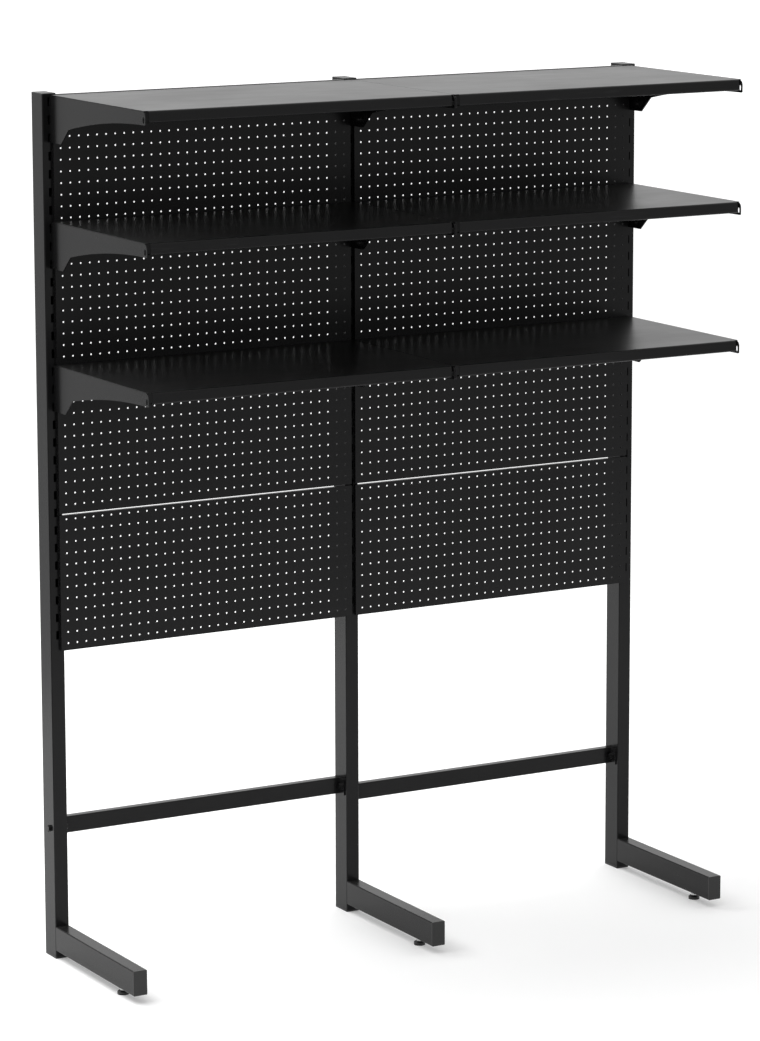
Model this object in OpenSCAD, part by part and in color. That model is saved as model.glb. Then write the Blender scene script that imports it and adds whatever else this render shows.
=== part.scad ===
// Pegboard tool wall: two bays of perforated steel panel on three slotted uprights,
// with three levels of shelves on hooked brackets and forward feet with levelling glides.
// Millimetres. +X right, -Y front, +Z up. The origin is on the floor, under the middle
// of the object's outer box.

/* [Overall] */
// Distance between the centres of neighbouring uprights
bay = 748; // [560:1:1000]
// Height of the top of the uprights above the floor
height = 1942; // [1750:1:2350]
// How far the shelf lips stand in front of the uprights
shelf_reach = 465; // [300:1:600]
// How far the toes of the feet stand in front of the uprights
foot_reach = 392; // [300:1:560]

/* [Uprights and feet] */
// Width of the upright and foot tube, left to right
tube_w = 33; // [28:1:45]
// Depth of the upright tube, and height of the foot tube
tube_d = 56; // [50:1:75]
// Wall thickness of the steel tubes
wall = 2; // [1.5:0.1:3]
// Outside corner radius of the tubes
tube_r = 2.4; // [2.2:0.1:3.5]
// Thickness of the plastic pad under each upright
heel_pad = 4; // [2:0.5:8]
// Height of the underside of the feet above the floor
foot_lift = 18.5; // [17.5:0.5:30]
// Distance of the levelling glides in front of the uprights
glide_out = 307; // [120:1:360]

/* [Pegboard panels] */
// Spacing of the holes from left to right
hole_pitch_x = 22; // [20:0.1:40]
// Spacing of the holes from row to row
hole_pitch_z = 25.4; // [20:0.1:40]
// Diameter of the peg holes
hole_d = 4; // [3:0.1:8]
// Rows of holes in the tall upper panel
rows_upper = 36; // [24:1:36]
// Rows of holes in the short lower panel
rows_lower = 12; // [4:1:12]
// Thickness of the panel sheet
panel_t = 1.2; // [0.8:0.1:2]
// Depth of the folded panel edges, from the sheet's face to the uprights
panel_depth = 9; // [5:0.5:12]
// Gap between the panels of neighbouring bays, where the bracket slots show
panel_gap = 10; // [9:0.5:14]
// Open seam between the upper and the lower panel
panel_seam = 3.2; // [0.5:0.1:6]

/* [Shelves and brackets] */
// Spacing of the bracket slots in the uprights
slot_pitch = 39.4; // [37:0.1:50]
// Slots between the top shelf and the middle shelf
steps_to_middle = 7; // [4:1:10]
// Slots between the middle shelf and the low shelf
steps_to_low = 8; // [4:1:10]
// Thickness of the shelf sheet
shelf_t = 1.2; // [0.8:0.1:2]
// Height of the shelf's front lip
lip_h = 25; // [22:1:40]
// Outside radius of the bend at the top of the lip
lip_r = 6; // [3:0.5:10]
// Thickness of the bracket plates
bracket_t = 2.5; // [1.5:0.1:2.6]
// How far the brackets lift before their hooks leave the slots
hook_lift = 8; // [6:0.5:8]

/* [Rails] */
// Height of the rail section
rail_h = 38; // [30:1:50]
// Depth of the rail section
rail_d = 20; // [15:1:22]
// Height of the middle of the left low rail above the floor
low_rail_z = 297.5; // [180:0.5:450]
// How much lower the right low rail sits, so its fixings pass those of the left one
rail_stagger = 21.5; // [20:0.5:60]

/* [Hidden] */

$fn = 48;
black = [0.05, 0.05, 0.055];
plastic = [0.03, 0.03, 0.032];
zinc = [0.62, 0.63, 0.65];

// Fits
slip = 0.2;        // a plug in a tube, a part resting beside another
rest_gap = 0.3;    // between a lifted-off part and what it rests on
bolt_play = 0.2;   // a bolt in a plain hole, on the radius
thread_fit = 0.05; // a screw in its thread, on the radius
eps = 0.01;        // runs a cut past a face

// Places of the uprights and bays
left = -bay;
middle = 0;
right = bay;

// Fasteners: M8 screws, M8 hexagon heads and nuts
screw_r = 4;
hex_r = 13 / sqrt(3);
head_h = 5.3;
nut_h = 6.8;

// Heights
cap_t = 2;
cap_plug = 6;
tube_top = height - cap_t;
shelf_top_z = height - 3;
panel_top = height - 2;
panel_edge_top = 16;
panel_edge_seam = 20;
panel_edge_low = 9.4;
panel_edge_bottom = 16;
upper_h = (rows_upper - 1) * hole_pitch_z + panel_edge_top + panel_edge_seam;
lower_h = (rows_lower - 1) * hole_pitch_z + panel_edge_low + panel_edge_bottom;
seam_z = panel_top - upper_h;
panel_bottom = seam_z - panel_seam - lower_h;
columns = floor((bay - 40) / hole_pitch_x) + 1;
panel_w = bay - panel_gap;

// Bracket slots and hooks
slot_w = 2 * bracket_t + 2;
neck_h = 10;
slot_h = neck_h + hook_lift + 1;
first_drop = 25;
hook_tip = 7;
hook_t = 4;
hooks = 3;
root_h = first_drop + (hooks - 1) * slot_pitch;
first_slot_z = shelf_top_z - first_drop;
slots = floor((first_slot_z - panel_bottom - 20) / slot_pitch) + 1;
plate_gap = 0.4;

// Panel hooks go through the webs between the bracket slots
tab_h = 10;
tab_drop = 5;
tab_slot_h = 16;
upper_tabs = [4, 12, floor((first_slot_z - seam_z) / slot_pitch) - 2];
lower_tabs = [slots - 6, slots - 2];

// Bracket profile: distance in front of the upright, and drop below the shelf's top
root_out = 56;
arm_start = 95;
arm_start_drop = 69;
arm_front_drop = lip_h + 5;
arm_mid = 0.46 * shelf_reach + 50;
arm_mid_drop = arm_front_drop + 0.31 * (arm_start_drop - arm_front_drop);
nose_r = 12;

// Shelf
shelf_back = panel_depth + 1.5;
sheet_end = 0.6;
lip_end = 10;
side_flange_h = 24;
rear_flange_h = 18;
side_flange_x = plate_gap + bracket_t + 0.5;
levels = [0, steps_to_middle, steps_to_middle + steps_to_low];

// Rails and feet
rail_front = tube_d - rail_d - 5;
plate_t = 3;
plate_front = 8;
rail_bolt_y = rail_front - hex_r - 0.5;
top_rail_z = height - 68.5;
insert_r = 5.5;
insert_l = 12;
foot_top = foot_lift + tube_d;
foot_plate_t = 6;
pad_r = 13;
pad_h = 9;
stud_top = foot_lift + 22;
glide_insert_r = 6.5;
glide_insert_l = 14;

// Everything is drawn with the uprights' front faces at y = 0, then moved onto the origin
back_reach = tube_d + head_h;
module placed() { translate([0, (shelf_reach - back_reach) / 2, 0]) children(); }

// ---- shared shapes -------------------------------------------------------

// A rectangle with round corners, one corner at the origin
module round_rect(w, h, r) {
    translate([r, 0]) square([w - 2 * r, h]);
    translate([0, r]) square([w, h - 2 * r]);
    for (x = [r, w - r], y = [r, h - r]) translate([x, y]) circle(r);
}

// The section of a rectangular tube, one corner at the origin
module tube_section(w, h, t, r) {
    difference() {
        round_rect(w, h, r);
        translate([t, t]) square([w - 2 * t, h - 2 * t]);
    }
}

// Stands a flat drawing up: its x runs along Y, its y along Z, and it is as thick as len along X
module along_x(len) { rotate([90, 0, 90]) linear_extrude(len) children(); }

// A cylinder along X from x0 to x1
module rod_x(x0, x1, y, z, r) {
    translate([x0, y, z]) rotate([0, 90, 0]) cylinder(h = x1 - x0, r = r);
}

// A hexagon along X from x0 to x1
module hex_x(x0, x1, y, z) {
    translate([x0, y, z]) rotate([0, 90, 0]) cylinder(h = x1 - x0, r = hex_r, $fn = 6);
}

// A quarter of a bent sheet, centred on the origin, in the quadrant that faces -x and +y
module bend(r, t) {
    intersection() {
        difference() {
            circle(r);
            circle(r - t);
        }
        translate([-r, 0]) square([r, r]);
    }
}

// ---- uprights ------------------------------------------------------------

module bracket_slots(x) {
    for (k = [0 : slots - 1])
        translate([x - slot_w / 2, -eps, first_slot_z - k * slot_pitch])
            cube([slot_w, wall + 2 * eps, slot_h]);
}

// The height of the bottom of the panel hook slot above bracket slot k
function tab_slot_z(k) = first_slot_z - k * slot_pitch + slot_h + 2;

module panel_slots(x, side) {
    low = panel_gap / 2 - 0.4;
    for (k = concat(upper_tabs, lower_tabs))
        translate([side > 0 ? x + low : x - low - panel_t - 0.8, -eps, tab_slot_z(k)])
            cube([panel_t + 0.8, wall + 2 * eps, tab_slot_h]);
}

// Holes in one side wall for a rail's screw insert
module insert_hole(x, side, z) {
    x0 = x + side * tube_w / 2;
    rod_x(x0 - wall - 1, x0 + wall + 1, rail_bolt_y, z, insert_r + thread_fit);
}

module upright(x) {
    color(black) difference() {
        translate([x - tube_w / 2, 0, heel_pad])
            linear_extrude(tube_top - heel_pad) tube_section(tube_w, tube_d, wall, tube_r);
        bracket_slots(x);
        if (x < right) panel_slots(x, 1);
        if (x > left) panel_slots(x, -1);
        for (z = foot_bolt_zs())
            translate([x, -1, z]) rotate([-90, 0, 0])
                cylinder(h = tube_d + 2, r = screw_r + bolt_play);
        if (x == left) {
            rod_x(x - tube_w, x + tube_w, rail_bolt_y, low_rail_z, screw_r + bolt_play);
            insert_hole(x, 1, top_rail_z);
        }
        if (x == right) {
            rod_x(x - tube_w, x + tube_w, rail_bolt_y, low_rail_z - rail_stagger,
                screw_r + bolt_play);
            insert_hole(x, -1, top_rail_z);
        }
        if (x == middle) {
            insert_hole(x, -1, low_rail_z);
            insert_hole(x, 1, low_rail_z - rail_stagger);
            insert_hole(x, -1, top_rail_z);
            insert_hole(x, 1, top_rail_z);
        }
    }
}

// A plastic plug in a tube's end, with its flange outside. The plug is as long as len
module tube_plug(flange_t, len) {
    linear_extrude(flange_t) round_rect(tube_w, tube_d, tube_r);
    inset = wall + slip;
    translate([inset, inset, flange_t - eps]) difference() {
        cube([tube_w - 2 * inset, tube_d - 2 * inset, len]);
        translate([3, 3, -1]) cube([tube_w - 2 * inset - 6, tube_d - 2 * inset - 6, len + 2]);
    }
}

module top_cap(x) {
    color(plastic) translate([x - tube_w / 2, tube_d, height]) rotate([180, 0, 0])
        tube_plug(cap_t, cap_plug);
}

// The plug stays below the heads of the foot's lower bolt
module heel_plug(x) {
    color(plastic) translate([x - tube_w / 2, 0, 0]) tube_plug(heel_pad, 10);
}

// ---- feet ----------------------------------------------------------------

function foot_bolt_zs() = [foot_lift + 14, foot_top - 14];

module foot(x) {
    toe = foot_reach - 2.5;
    color(black) difference() {
        union() {
            translate([x - tube_w / 2, 0, foot_lift]) rotate([90, 0, 0])
                linear_extrude(toe) tube_section(tube_w, tube_d, wall, tube_r);
            translate([x - tube_w / 2 + 1, -foot_plate_t, foot_lift + 1])
                cube([tube_w - 2, foot_plate_t, tube_d - 2]);
        }
        for (z = foot_bolt_zs())
            translate([x, -foot_plate_t - 1, z]) rotate([-90, 0, 0])
                cylinder(h = foot_plate_t + 2, r = screw_r + thread_fit);
        translate([x, -glide_out, foot_lift - 1]) cylinder(h = wall + 2, r = glide_insert_r);
    }
}

module toe_cap(x) {
    color(plastic) translate([x - tube_w / 2, -foot_reach, foot_lift + tube_d])
        rotate([-90, 0, 0]) tube_plug(2.5, 16);
}

// Screw inserts in the undersides of the feet
module glide_insert(x) {
    translate([x, -glide_out, 0]) difference() {
        union() {
            translate([0, 0, foot_lift - 1]) cylinder(h = 1, r = glide_insert_r + 2.5);
            translate([0, 0, foot_lift - 1]) cylinder(h = glide_insert_l, r = glide_insert_r);
        }
        translate([0, 0, foot_lift - 2])
            cylinder(h = glide_insert_l + 4, r = screw_r + thread_fit);
    }
}

module glide_inserts() { color(zinc) for (x = [left, middle, right]) glide_insert(x); }

module glide_pad(x) {
    color(plastic) translate([x, -glide_out, 0]) difference() {
        union() {
            cylinder(h = pad_h - 3, r = pad_r);
            translate([0, 0, pad_h - 3]) cylinder(h = 3, r1 = pad_r, r2 = pad_r - 4);
        }
        translate([0, 0, 3]) cylinder(h = pad_h, r = screw_r - 1 + thread_fit);
    }
}

module glide_stud(x) {
    color(zinc) translate([x, -glide_out, 0]) {
        translate([0, 0, 3.3]) cylinder(h = pad_h - 3, r = screw_r - 1);
        translate([0, 0, pad_h + 0.3]) cylinder(h = 4.7, r = hex_r, $fn = 6);
        translate([0, 0, pad_h + 4]) cylinder(h = stud_top - pad_h - 4, r = screw_r);
    }
}

// Two bolts hold each foot, put in from behind its upright
module foot_bolts() {
    color(zinc) for (x = [left, middle, right], z = foot_bolt_zs()) {
        translate([x, -foot_plate_t - 3, z]) rotate([-90, 0, 0])
            cylinder(h = tube_d + foot_plate_t + 3 + eps, r = screw_r);
        translate([x, tube_d, z]) rotate([-90, 0, 0])
            cylinder(h = head_h, r = hex_r, $fn = 6);
    }
}

// ---- rails ---------------------------------------------------------------

module rail(x0, z) {
    a = x0 + tube_w / 2;
    b = x0 + bay - tube_w / 2;
    color(black) difference() {
        union() {
            translate([a + 1, rail_front, z - rail_h / 2]) along_x(b - a - 2)
                tube_section(rail_d, rail_h, 1.5, 2);
            for (x = [a, b - plate_t])
                translate([x, plate_front, z - rail_h / 2])
                    cube([plate_t, rail_front + rail_d - plate_front, rail_h]);
        }
        for (x = [a, b - plate_t])
            rod_x(x - 1, x + plate_t + 1, rail_bolt_y, z, screw_r + bolt_play);
    }
}

// The outer ends of the low rails are bolted right through the outer uprights
module rail_bolt(x, side, z) {
    mirror([side > 0 ? 1 : 0, 0, 0]) {
        face = -abs(x) - tube_w / 2;
        hex_x(face - head_h, face, rail_bolt_y, z);
        rod_x(face - eps, face + tube_w + plate_t + nut_h + 2, rail_bolt_y, z, screw_r);
    }
}

module rail_bolts() {
    color(black) {
        rail_bolt(left, -1, low_rail_z);
        rail_bolt(right, 1, low_rail_z - rail_stagger);
    }
}

module rail_nut(side, z) {
    mirror([side > 0 ? 1 : 0, 0, 0]) {
        face = -bay + tube_w / 2 + plate_t;
        difference() {
            hex_x(face, face + nut_h, rail_bolt_y, z);
            rod_x(face - 1, face + nut_h + 1, rail_bolt_y, z, screw_r + thread_fit);
        }
    }
}

module rail_nuts() {
    color(zinc) {
        rail_nut(-1, low_rail_z);
        rail_nut(1, low_rail_z - rail_stagger);
    }
}

// Each other rail end has a screw from the bay side into an insert in the upright:
// the upright's place, the side the rail is on, and the height
rail_ends = [
    [middle, -1, low_rail_z], [middle, 1, low_rail_z - rail_stagger],
    [left, 1, top_rail_z], [middle, -1, top_rail_z],
    [middle, 1, top_rail_z], [right, -1, top_rail_z]
];

module rail_screw(end) {
    translate([end[0], 0, 0]) mirror([end[1] < 0 ? 1 : 0, 0, 0]) {
        face = tube_w / 2 + plate_t;
        hex_x(face, face + head_h, rail_bolt_y, end[2]);
        rod_x(face - 15, face + eps, rail_bolt_y, end[2], screw_r);
    }
}

module rail_insert(end) {
    translate([end[0], 0, 0]) mirror([end[1] < 0 ? 1 : 0, 0, 0]) difference() {
        rod_x(tube_w / 2 - insert_l, tube_w / 2, rail_bolt_y, end[2], insert_r);
        rod_x(0, tube_w, rail_bolt_y, end[2], screw_r + thread_fit);
    }
}

module rail_screws() { color(black) for (end = rail_ends) rail_screw(end); }
module rail_inserts() { color(zinc) for (end = rail_ends) rail_insert(end); }

// ---- pegboard panels -----------------------------------------------------

// The face sheet, drawn flat with its lower left corner at the origin
module panel_face(h, rows, first_row) {
    first_column = (panel_w - (columns - 1) * hole_pitch_x) / 2;
    difference() {
        square([panel_w, h]);
        for (i = [0 : columns - 1], j = [0 : rows - 1])
            translate([first_column + i * hole_pitch_x, first_row + j * hole_pitch_z])
                circle(d = hole_d);
    }
}

// A hook on a panel's folded side edge, through the upright's front wall and down behind it
module panel_tab(z) {
    reach = wall + 0.5;
    translate([0, -1, z]) cube([panel_t, reach + 4, tab_h]);
    translate([0, reach, z - tab_drop]) cube([panel_t, 3, tab_drop + tab_h]);
}

module panel(x0, z0, h, rows, first_row, tabs) {
    a = x0 + panel_gap / 2;
    color(black) {
        translate([a, -panel_depth + panel_t, z0]) rotate([90, 0, 0])
            linear_extrude(panel_t) panel_face(h, rows, first_row);
        for (x = [a, a + panel_w - panel_t]) {
            translate([x, -panel_depth + panel_t / 2, z0])
                cube([panel_t, panel_depth - panel_t / 2, h]);
            for (k = tabs) translate([x, 0, 0]) panel_tab(tab_slot_z(k) + slip);
        }
        for (z = [z0, z0 + h - panel_t])
            translate([a, -panel_depth + panel_t / 2, z])
                cube([panel_w, panel_depth - panel_t / 2, panel_t]);
    }
}

module upper_panel(x0) {
    panel(x0, seam_z, upper_h, rows_upper, panel_edge_seam, upper_tabs);
}

module lower_panel(x0) {
    panel(x0, panel_bottom, lower_h, rows_lower, panel_edge_bottom, lower_tabs);
}

// ---- shelves and brackets ------------------------------------------------

// The lip's section: the bend at the top, the front, and the fold under it
module lip_section() {
    fold_r = 4;
    translate([-shelf_reach + lip_r, -lip_r]) bend(lip_r, shelf_t);
    translate([-shelf_reach, -lip_h + fold_r]) square([shelf_t, lip_h - lip_r - fold_r]);
    translate([-shelf_reach + fold_r, -lip_h + fold_r]) mirror([0, 1]) bend(fold_r, shelf_t);
    translate([-shelf_reach + fold_r, -lip_h]) square([12, shelf_t]);
}

// A stiffening channel under the sheet, open at the top
module stiffener_section(w, h) {
    translate([-w / 2, -h]) square([w, shelf_t]);
    for (x = [-w / 2, w / 2 - shelf_t]) translate([x, -h]) square([shelf_t, h]);
}

module shelf(x0, level) {
    z = shelf_top_z - levels[level] * slot_pitch;
    sheet_front = -shelf_reach + lip_r - eps;
    color(black) translate([x0, 0, z]) {
        translate([sheet_end, sheet_front, -shelf_t])
            cube([bay - 2 * sheet_end, -sheet_front - shelf_back, shelf_t]);
        translate([lip_end, 0, 0]) along_x(bay - 2 * lip_end) lip_section();
        translate([side_flange_x, -shelf_back - shelf_t, -rear_flange_h])
            cube([bay - 2 * side_flange_x, shelf_t, rear_flange_h]);
        for (x = [side_flange_x, bay - side_flange_x - shelf_t])
            translate([x, -shelf_reach + 22, -side_flange_h])
                cube([shelf_t, shelf_reach - 22 - shelf_back, side_flange_h]);
        for (y = [0.33, 0.68])
            translate([side_flange_x, -shelf_reach * y, 0])
                along_x(bay - 2 * side_flange_x) stiffener_section(60, 14);
    }
}

// Centre of the circle through three points
function circle_centre(a, b, c) =
    let (
        d = 2 * (a[0] * (b[1] - c[1]) + b[0] * (c[1] - a[1]) + c[0] * (a[1] - b[1])),
        aa = a * a,
        bb = b * b,
        cc = c * c
    )
    [
        (aa * (b[1] - c[1]) + bb * (c[1] - a[1]) + cc * (a[1] - b[1])) / d,
        (aa * (c[0] - b[0]) + bb * (a[0] - c[0]) + cc * (b[0] - a[0])) / d
    ];

// The arched lower edge of the bracket's arm, from its front to its root
function arm_edge(n) =
    let (
        a = [-shelf_reach + 14, -arm_front_drop],
        b = [-arm_mid, -arm_mid_drop],
        c = [-arm_start, -arm_start_drop],
        o = circle_centre(a, b, c),
        r = norm(a - o),
        a0 = atan2(a[1] - o[1], a[0] - o[0]),
        a1 = atan2(c[1] - o[1], c[0] - o[0])
    )
    [for (i = [0 : n]) o + r * [cos(a0 + (a1 - a0) * i / n), sin(a0 + (a1 - a0) * i / n)]];

// The bracket seen from the side: hooks, root, arm and nose
module bracket_profile() {
    top = -shelf_t - rest_gap;
    back = -plate_gap;
    front = -shelf_reach + nose_r;
    difference() {
        union() {
            polygon(concat(
                [[back, -root_h], [back, top], [front, top], [front, -arm_front_drop]],
                arm_edge(16),
                [[-root_out, -root_h]]
            ));
            translate([front, top - nose_r]) circle(nose_r);
            translate([front - nose_r, -arm_front_drop + 3])
                square([nose_r + 1, arm_front_drop - 3 + top - nose_r]);
            translate([front - nose_r + 3, -arm_front_drop]) square([nose_r, 5]);
            translate([front - nose_r + 3, -arm_front_drop + 3]) circle(3);
        }
        translate([-shelf_reach + 7.5, -arm_front_drop + 8]) {
            circle(4);
            translate([-4, 0]) square([8, lip_h - 20]);
            translate([0, lip_h - 20]) circle(4);
        }
    }
    for (k = [0 : hooks - 1])
        translate([0, -first_drop - k * slot_pitch + rest_gap]) bracket_hook();
}

module bracket_hook() {
    reach = wall + plate_gap;
    translate([-1, 0]) square([reach + 1 + hook_t, neck_h]);
    translate([reach, -hook_tip]) square([hook_t, hook_tip + 1]);
}

// side is 1 for the bracket at the left end of its shelf and -1 for the one at the right end
module bracket(x, side, level) {
    z = shelf_top_z - levels[level] * slot_pitch;
    color(black) translate([side > 0 ? x + plate_gap : x - plate_gap - bracket_t, 0, z])
        along_x(bracket_t) bracket_profile();
}

// ---- what is drawn -------------------------------------------------------

placed() upright(left);  // upright_left
placed() upright(middle);  // upright_middle
placed() upright(right);  // upright_right
placed() top_cap(left);  // top_cap_left
placed() top_cap(middle);  // top_cap_middle
placed() top_cap(right);  // top_cap_right
placed() heel_plug(left);  // heel_plug_left
placed() heel_plug(middle);  // heel_plug_middle
placed() heel_plug(right);  // heel_plug_right
placed() foot(left);  // foot_left
placed() foot(middle);  // foot_middle
placed() foot(right);  // foot_right
placed() toe_cap(left);  // toe_cap_left
placed() toe_cap(middle);  // toe_cap_middle
placed() toe_cap(right);  // toe_cap_right
placed() glide_pad(left);  // glide_pad_left
placed() glide_pad(middle);  // glide_pad_middle
placed() glide_pad(right);  // glide_pad_right
placed() glide_stud(left);  // glide_stud_left
placed() glide_stud(middle);  // glide_stud_middle
placed() glide_stud(right);  // glide_stud_right
placed() glide_inserts();
placed() foot_bolts();
placed() rail(left, low_rail_z);  // low_rail_left
placed() rail(middle, low_rail_z - rail_stagger);  // low_rail_right
placed() rail(left, top_rail_z);  // top_rail_left
placed() rail(middle, top_rail_z);  // top_rail_right
placed() rail_bolts();
placed() rail_nuts();
placed() rail_screws();
placed() rail_inserts();
placed() upper_panel(left);  // upper_panel_left
placed() upper_panel(middle);  // upper_panel_right
placed() lower_panel(left);  // lower_panel_left
placed() lower_panel(middle);  // lower_panel_right
placed() shelf(left, 0);  // shelf_top_left
placed() shelf(middle, 0);  // shelf_top_right
placed() shelf(left, 1);  // shelf_middle_left
placed() shelf(middle, 1);  // shelf_middle_right
placed() shelf(left, 2);  // shelf_low_left
placed() shelf(middle, 2);  // shelf_low_right
placed() bracket(left, 1, 0);  // bracket_top_left_a
placed() bracket(middle, -1, 0);  // bracket_top_left_b
placed() bracket(middle, 1, 0);  // bracket_top_right_a
placed() bracket(right, -1, 0);  // bracket_top_right_b
placed() bracket(left, 1, 1);  // bracket_middle_left_a
placed() bracket(middle, -1, 1);  // bracket_middle_left_b
placed() bracket(middle, 1, 1);  // bracket_middle_right_a
placed() bracket(right, -1, 1);  // bracket_middle_right_b
placed() bracket(left, 1, 2);  // bracket_low_left_a
placed() bracket(middle, -1, 2);  // bracket_low_left_b
placed() bracket(middle, 1, 2);  // bracket_low_right_a
placed() bracket(right, -1, 2);  // bracket_low_right_b
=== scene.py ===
import math

import bpy
from mathutils import Matrix, Vector

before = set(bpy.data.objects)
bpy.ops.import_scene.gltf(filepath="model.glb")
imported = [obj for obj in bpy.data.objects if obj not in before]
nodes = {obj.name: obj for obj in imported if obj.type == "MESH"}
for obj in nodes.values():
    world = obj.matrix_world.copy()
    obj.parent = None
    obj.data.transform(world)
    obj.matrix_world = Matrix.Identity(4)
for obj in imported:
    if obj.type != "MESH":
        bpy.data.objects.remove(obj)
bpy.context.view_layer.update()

# ---- camera --------------------------------------------------------------

CAMERA_PLACE = (-4.5507, -7.9191, 2.7162)
CAMERA_AZIMUTH = math.radians(29.06)
CAMERA_ELEVATION = math.radians(-10.05)
CAMERA_ROLL = math.radians(0.24)
SENSOR = 36.0
LENS = 142.9
SHIFT_X, SHIFT_Y = 0.0412, -0.0571
VIEW_END = 200.0


def make_camera():
    data = bpy.data.cameras.new("camera")
    data.sensor_width = SENSOR
    data.lens = LENS
    data.shift_x = SHIFT_X
    data.shift_y = SHIFT_Y
    data.clip_end = VIEW_END
    cam = bpy.data.objects.new("camera", data)
    bpy.context.scene.collection.objects.link(cam)
    forward = Vector((
        math.sin(CAMERA_AZIMUTH) * math.cos(CAMERA_ELEVATION),
        math.cos(CAMERA_AZIMUTH) * math.cos(CAMERA_ELEVATION),
        math.sin(CAMERA_ELEVATION),
    ))
    level = Vector((math.cos(CAMERA_AZIMUTH), -math.sin(CAMERA_AZIMUTH), 0.0))
    up = level.cross(forward)
    turn = Matrix.Rotation(CAMERA_ROLL, 3, forward)
    side, up = turn @ level, turn @ up
    rotation = Matrix((side, up, -forward)).transposed()
    cam.matrix_world = Matrix.Translation(CAMERA_PLACE) @ rotation.to_4x4()
    bpy.context.scene.camera = cam


make_camera()

# ---- node helpers --------------------------------------------------------


class Graph:
    """A material's or world's node tree, built one call at a time."""

    def __init__(self, owner):
        owner.use_nodes = True
        self.tree = owner.node_tree
        self.tree.nodes.clear()

    def add(self, kind, inputs=None, **settings):
        node = self.tree.nodes.new(kind)
        for key, value in settings.items():
            setattr(node, key, value)
        for key, value in (inputs or {}).items():
            self.put(node.inputs[key], value)
        return node

    def put(self, socket, value):
        if isinstance(value, bpy.types.NodeSocket):
            self.tree.links.new(value, socket)
        else:
            socket.default_value = value

    def math(self, operation, a, b=0.0):
        node = self.add("ShaderNodeMath", operation=operation)
        self.put(node.inputs[0], a)
        self.put(node.inputs[1], b)
        return node.outputs[0]

    def span(self, value, from_low, from_high, to_low, to_high):
        return self.add("ShaderNodeMapRange", {
            "Value": value, "From Min": from_low, "From Max": from_high,
            "To Min": to_low, "To Max": to_high,
        }).outputs["Result"]

    def noise(self, vector, scale, detail=3.0, roughness=0.5):
        return self.add("ShaderNodeTexNoise", {
            "Vector": vector, "Scale": scale, "Detail": detail, "Roughness": roughness,
        }).outputs["Fac"]

    def stretch(self, vector, scale):
        return self.add("ShaderNodeMapping", {"Vector": vector, "Scale": scale}).outputs[0]

    def mix(self, factor, a, b):
        node = self.add("ShaderNodeMix", data_type="RGBA")
        self.put(node.inputs["Factor"], factor)
        self.put(node.inputs[6], a)
        self.put(node.inputs[7], b)
        return node.outputs[2]


def grey(value, tint=0.0):
    return (value, value, value * (1.0 + tint), 1.0)


# ---- materials -----------------------------------------------------------

COAT_SHINE = 0.18
COAT_IOR = 1.47
DUST_COLOUR = (0.30, 0.29, 0.27, 1.0)
RUBBED_COAT = 0.05
PEEL_SCALE = 420.0  # lumps per metre
PEEL_DEPTH = 0.0006

def powder_coat(name, base, rough, peel, dust, scuff, along="x"):
    """Glossy black powder coat: orange peel, uneven gloss, wiped dust, fine rubs along the part."""
    material = bpy.data.materials.new(name)
    g = Graph(material)
    place = g.add("ShaderNodeTexCoord").outputs["Object"]
    normal = g.add("ShaderNodeNewGeometry").outputs["Normal"]
    facing_up = g.span(
        g.add("ShaderNodeSeparateXYZ", {"Vector": normal}).outputs["Z"], 0.5, 0.98, 0.25, 1.0)
    clouds = g.noise(place, 5.0, 3.0, 0.55)
    wipes = g.noise(g.stretch(place, (3.0, 11.0, 11.0) if along == "x" else (11.0, 11.0, 3.0)),
                    2.4, 3.0, 0.6)
    rubs = g.noise(g.stretch(place, (9.0, 150.0, 150.0) if along == "x" else
                             (150.0, 150.0, 9.0)), 1.0, 1.0, 0.5)
    rub_mask = g.math("MULTIPLY", g.span(rubs, 0.66, 0.78, 0.0, scuff),
                      g.span(clouds, 0.52, 0.66, 0.0, 1.0))
    dust_mask = g.math("MULTIPLY", facing_up, g.span(wipes, 0.35, 0.70, dust * 0.3, dust))
    coat = g.mix(clouds, grey(base * 0.8, 0.03), grey(base * 1.25, 0.06))
    coat = g.mix(rub_mask, coat, grey(RUBBED_COAT))
    colour = g.mix(dust_mask, coat, DUST_COLOUR)
    gloss = g.span(clouds, 0.3, 0.7, rough * 0.94, rough * 1.07)
    gloss = g.math("ADD", gloss, g.span(wipes, 0.4, 0.7, -0.006, 0.01))
    gloss = g.math("ADD", gloss, g.math("MULTIPLY", rub_mask, 0.15))
    gloss = g.math("ADD", gloss, g.math("MULTIPLY", dust_mask, 0.5))
    skin = g.noise(place, PEEL_SCALE, 1.0, 0.45)
    bump = g.add("ShaderNodeBump", {"Height": skin, "Strength": peel, "Distance": PEEL_DEPTH})
    shader = g.add("ShaderNodeBsdfPrincipled", {
        "Base Color": colour, "Roughness": gloss, "IOR": COAT_IOR,
        "Specular IOR Level": COAT_SHINE, "Normal": bump.outputs["Normal"],
    })
    out = g.add("ShaderNodeOutputMaterial")
    g.tree.links.new(shader.outputs[0], out.inputs["Surface"])
    return material


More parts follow.
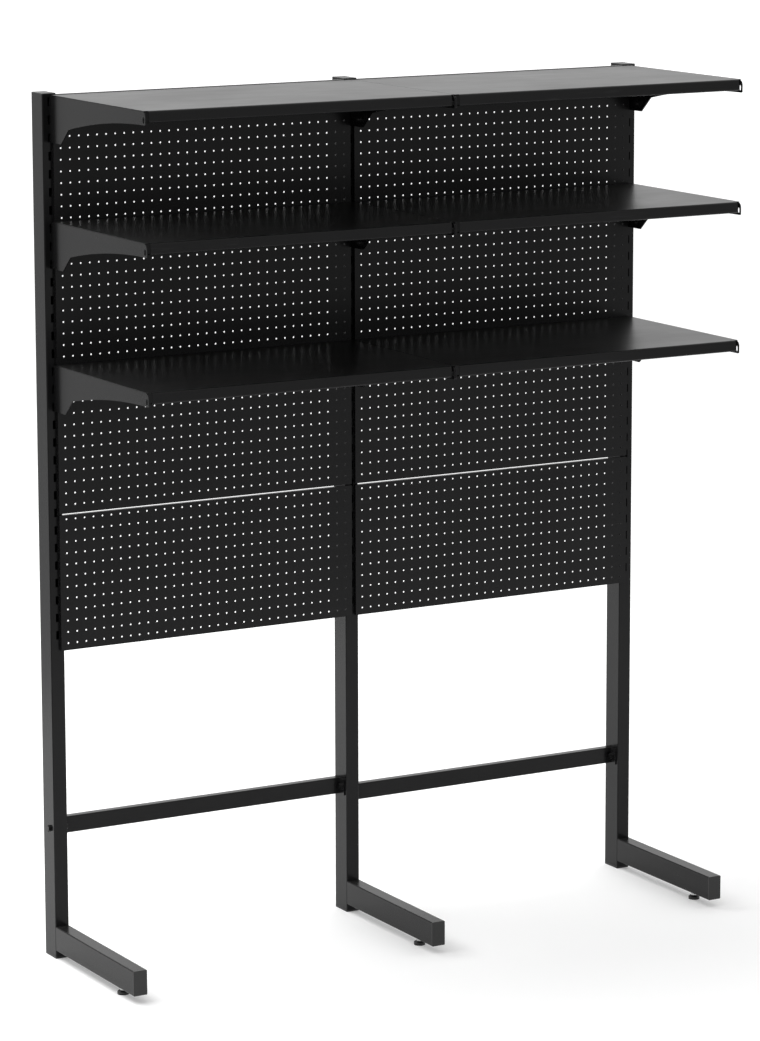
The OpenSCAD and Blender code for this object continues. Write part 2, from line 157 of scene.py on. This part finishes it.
def moulded_plastic(name, base, rough, grain):
    """Black moulded plastic with a fine spark-eroded grain and a few pale scuffs."""
    material = bpy.data.materials.new(name)
    g = Graph(material)
    place = g.add("ShaderNodeTexCoord").outputs["Object"]
    clouds = g.noise(place, 18.0, 4.0, 0.55)
    fine = g.noise(place, 1900.0, 2.0, 0.6)
    marks = g.noise(g.stretch(place, (90.0, 26.0, 90.0)), 2.0, 4.0, 0.6)
    mark_mask = g.span(marks, 0.60, 0.72, 0.0, 0.5)
    colour = g.mix(clouds, grey(base * 0.75), grey(base * 1.3))
    colour = g.mix(mark_mask, colour, grey(0.035))
    gloss = g.math("ADD", g.span(clouds, 0.3, 0.7, rough - 0.06, rough + 0.06),
                   g.math("MULTIPLY", mark_mask, 0.2))
    bump = g.add("ShaderNodeBump", {"Height": fine, "Strength": grain, "Distance": 0.0003})
    shader = g.add("ShaderNodeBsdfPrincipled", {
        "Base Color": colour, "Roughness": gloss, "IOR": 1.46, "Normal": bump.outputs["Normal"],
    })
    out = g.add("ShaderNodeOutputMaterial")
    g.tree.links.new(shader.outputs[0], out.inputs["Surface"])
    return material


def zinc_plate(name):
    """Zinc-plated steel: clouded passivation, fine machining lines and dull spots."""
    material = bpy.data.materials.new(name)
    g = Graph(material)
    place = g.add("ShaderNodeTexCoord").outputs["Object"]
    clouds = g.noise(place, 60.0, 5.0, 0.6)
    lines = g.noise(g.stretch(place, (60.0, 60.0, 2600.0)), 1.0, 2.0, 0.5)
    spots = g.span(g.noise(place, 500.0, 3.0, 0.6), 0.60, 0.70, 0.0, 1.0)
    colour = g.mix(clouds, (0.50, 0.51, 0.53, 1.0), (0.68, 0.68, 0.66, 1.0))
    colour = g.mix(g.math("MULTIPLY", spots, 0.5), colour, (0.36, 0.36, 0.35, 1.0))
    gloss = g.math("ADD", g.span(clouds, 0.3, 0.7, 0.26, 0.42), g.math("MULTIPLY", spots, 0.2))
    bump = g.add("ShaderNodeBump", {"Height": lines, "Strength": 0.15, "Distance": 0.0002})
    shader = g.add("ShaderNodeBsdfPrincipled", {
        "Base Color": colour, "Metallic": 1.0, "Roughness": gloss,
        "Normal": bump.outputs["Normal"],
    })
    out = g.add("ShaderNodeOutputMaterial")
    g.tree.links.new(shader.outputs[0], out.inputs["Surface"])
    return material


# Name, base colour, roughness, peel, dust and scuff of each coat
FINISHES = {
    "tube": powder_coat("powder_coat_tube", 0.0075, 0.20, 0.020, 0.02, 0.25, along="z"),
    "foot": powder_coat("powder_coat_foot", 0.0080, 0.24, 0.020, 0.04, 0.45),
    "rail": powder_coat("powder_coat_rail", 0.0075, 0.20, 0.020, 0.03, 0.20),
    "panel": powder_coat("powder_coat_panel", 0.0075, 0.25, 0.015, 0.02, 0.15),
    "shelf": powder_coat("powder_coat_shelf", 0.0055, 0.32, 0.015, 0.02, 0.30),
    "bracket": powder_coat("powder_coat_bracket", 0.0070, 0.24, 0.020, 0.02, 0.25),
    "bolt": powder_coat("powder_coat_bolt", 0.0060, 0.30, 0.020, 0.03, 0.40),
    "plastic": moulded_plastic("moulded_plastic", 0.010, 0.40, 0.12),
    "zinc": zinc_plate("zinc_plate"),
}

NAME_STARTS = (
    ("upright", "tube"), ("top_cap", "plastic"), ("heel_plug", "plastic"),
    ("foot_bolts", "zinc"), ("foot", "foot"), ("toe_cap", "plastic"),
    ("glide_pad", "plastic"), ("glide", "zinc"), ("low_rail", "rail"), ("top_rail", "rail"),
    ("rail_bolts", "bolt"), ("rail_screws", "bolt"), ("rail_nuts", "bolt"),
    ("rail_inserts", "zinc"),
    ("upper_panel", "panel"), ("lower_panel", "panel"),
    ("shelf", "shelf"), ("bracket", "bracket"),
)


def finish_of(name):
    for start, finish in NAME_STARTS:
        if name.startswith(start):
            return FINISHES[finish]
    raise ValueError("no finish for " + name)


for name, piece in nodes.items():
    piece.data.materials.clear()
    piece.data.materials.append(finish_of(name))

# ---- floor, light and surroundings ---------------------------------------


FLOOR_LOW, FLOOR_HIGH = (-1.8, -2.6), (45.0, 60.0)
GLOW_FROM, GLOW_TO = 6.0, 20.0  # how far behind the wall the floor brightens
# painted light: the floor's own glow, faint near the wall to pale its shadows, stronger far behind
# it
GLOW_NEAR, GLOW_FAR = 0.14, 0.50


def make_floor():
    """A pale floor with painted light: it glows faintly near the wall, which pales its shadows, and
    glows brighter far behind the wall, fading into the white studio.
    """
    low, high = Vector((*FLOOR_LOW, 0.0)), Vector((*FLOOR_HIGH, 0.0))
    corners = [(low.x, low.y, 0), (high.x, low.y, 0), (high.x, high.y, 0), (low.x, high.y, 0)]
    mesh = bpy.data.meshes.new("floor")
    mesh.from_pydata(corners, [], [(0, 1, 2, 3)])
    floor = bpy.data.objects.new("floor", mesh)
    bpy.context.scene.collection.objects.link(floor)
    material = bpy.data.materials.new("pale_floor")
    g = Graph(material)
    place = g.add("ShaderNodeTexCoord").outputs["Object"]
    patch = g.noise(place, 0.6, 3.0)
    colour = g.mix(patch, grey(0.88), grey(0.92))
    shader = g.add("ShaderNodeBsdfPrincipled", {
        "Base Color": colour, "Roughness": g.span(patch, 0.3, 0.7, 0.8, 0.9),
        "Specular IOR Level": 0.1, "Emission Color": grey(1.0),
        # painted light: emission glow that lifts the floor's shadows near the wall and whitens it
        # far behind
        "Emission Strength": g.span(
            g.add("ShaderNodeSeparateXYZ", {"Vector": place}).outputs["Y"],
            GLOW_FROM, GLOW_TO, GLOW_NEAR, GLOW_FAR),
    })
    out = g.add("ShaderNodeOutputMaterial")
    g.tree.links.new(shader.outputs[0], out.inputs["Surface"])
    floor.data.materials.append(material)


ROOM_FRONT, ROOM_BEHIND = 0.75, 1.15  # brightness of the surroundings
ROOM_LEFT = 0.5  # share of it that is left on the left


def make_world():
    """A white studio behind the wall, dimmer in front of it and to its left."""
    world = bpy.data.worlds.new("studio")
    bpy.context.scene.world = world
    g = Graph(world)
    towards = g.add("ShaderNodeTexCoord").outputs["Generated"]
    split = g.add("ShaderNodeSeparateXYZ", {"Vector": towards})
    behind = g.span(split.outputs["Y"], -0.35, 0.15, ROOM_FRONT, ROOM_BEHIND)
    leftward = g.span(split.outputs["X"], -0.7, -0.1, ROOM_LEFT, 1.0)
    strength = g.math("MULTIPLY", behind, leftward)
    light = g.add("ShaderNodeBackground", {"Color": (1.0, 1.0, 1.0, 1.0), "Strength": strength})
    out = g.add("ShaderNodeOutputWorld")
    g.tree.links.new(light.outputs[0], out.inputs["Surface"])


def softbox(name, place, target, size, power):
    """A square area light at place, aimed at target, size in metres and power in watts."""
    data = bpy.data.lights.new(name, "AREA")
    data.shape = "RECTANGLE"
    data.size, data.size_y = size
    data.energy = power
    light = bpy.data.objects.new(name, data)
    light.location = place
    aim = Vector(target) - Vector(place)
    light.rotation_mode = "QUATERNION"
    light.rotation_quaternion = aim.to_track_quat("-Z", "Y")
    bpy.context.scene.collection.objects.link(light)


KEY_PLACE, KEY_TARGET = (-3.0, 2.5, 6.5), (0.0, 2.0, 0.0)
KEY_SIZE = (7.0, 7.0)
KEY_POWER = 520.0

make_floor()
make_world()
softbox("key", KEY_PLACE, KEY_TARGET, KEY_SIZE, KEY_POWER)
bpy.context.scene.view_settings.view_transform = "Standard"
